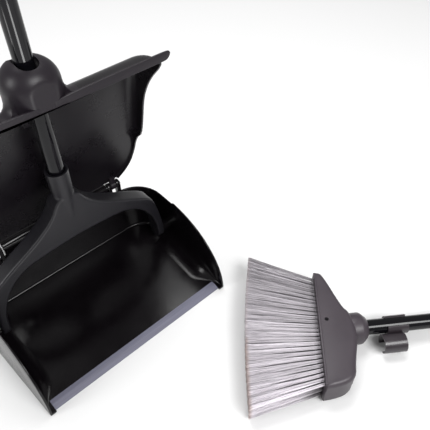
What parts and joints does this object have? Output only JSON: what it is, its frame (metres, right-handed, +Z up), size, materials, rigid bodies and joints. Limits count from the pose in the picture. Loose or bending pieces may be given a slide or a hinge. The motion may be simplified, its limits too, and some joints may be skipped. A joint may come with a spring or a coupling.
{
  "type": "dustpan and brush set",
  "caption": "Upright dustpan with a hinged windproof hood and tilting handle, and a long-handled angle brush with a storage clip, lying beside it.",
  "frame": {"origin": "middle of the pan's flat underside, on the floor", "axes": "+Z up along the standing handle, +X to the pan's right along its lip, +Y to the pan's back"},
  "size_m": [0.9856, 0.8249, 0.926],
  "materials": {
    "pan_black": "gloss moulded polypropylene",
    "hood_black": "semi-gloss moulded polypropylene",
    "yoke_charcoal": "satin moulded polypropylene",
    "lip_rubber": "matte grey thermoplastic rubber",
    "tube_black": "gloss black coated steel",
    "grip_black": "matte moulded plastic",
    "head_charcoal": "matte charcoal moulded plastic",
    "bristle_grey": "flagged synthetic bristle",
    "zinc_steel": "zinc-plated steel",
    "pin_black": "moulded acetal"
  },
  "bodies": {
    "pan": {"pan_shell": "pan_black", "lip_strip": "lip_rubber", "arm_pivot_pins": "pin_black", "hood_hinge_pins": "zinc_steel"},
    "handle": {"yoke": "yoke_charcoal", "yoke_screw": "zinc_steel", "pan_tube": "tube_black", "pan_grip": "grip_black", "pan_grip_cap": "grip_black"},
    "hood": {"hood_shell": "hood_black"},
    "brush": {"brush_housing": "head_charcoal", "bristle_block": "head_charcoal", "block_screw": "zinc_steel", "tuft_staples": "zinc_steel", "bristle_row_bottom": "bristle_grey", "bristle_row_middle": "bristle_grey", "bristle_row_top": "bristle_grey", "brush_tube_screw": "zinc_steel", "brush_tube": "tube_black", "brush_grip": "grip_black", "brush_grip_cap": "grip_black"},
    "clip": {"storage_clip": "head_charcoal"}
  },
  "joints": [
    {"name": "handle_tilt", "type": "hinge", "parent": "pan", "child": "handle", "pos_m": [0, 0.039, 0.028], "axis": [1, 0, 0], "range_deg": [0, 67.2]},
    {"name": "hood_fold", "type": "hinge", "parent": "pan", "child": "hood", "pos_m": [0, 0.095, 0.116], "axis": [1, 0, 0], "range_deg": [0, 80.01]},
    {"name": "brush_lift", "type": "slide", "parent": "pan", "child": "brush", "axis": [0, 0, 1], "range_m": [0, 0.3]},
    {"name": "clip_slide", "type": "slide", "parent": "brush", "child": "clip", "axis": [0.8131, -0.5821, 0], "range_m": [0, 0.4]}
  ],
  "couplings": [
    {"joint": "hood_fold", "follows": "handle_tilt", "ratio": 1.1905}
  ]
}
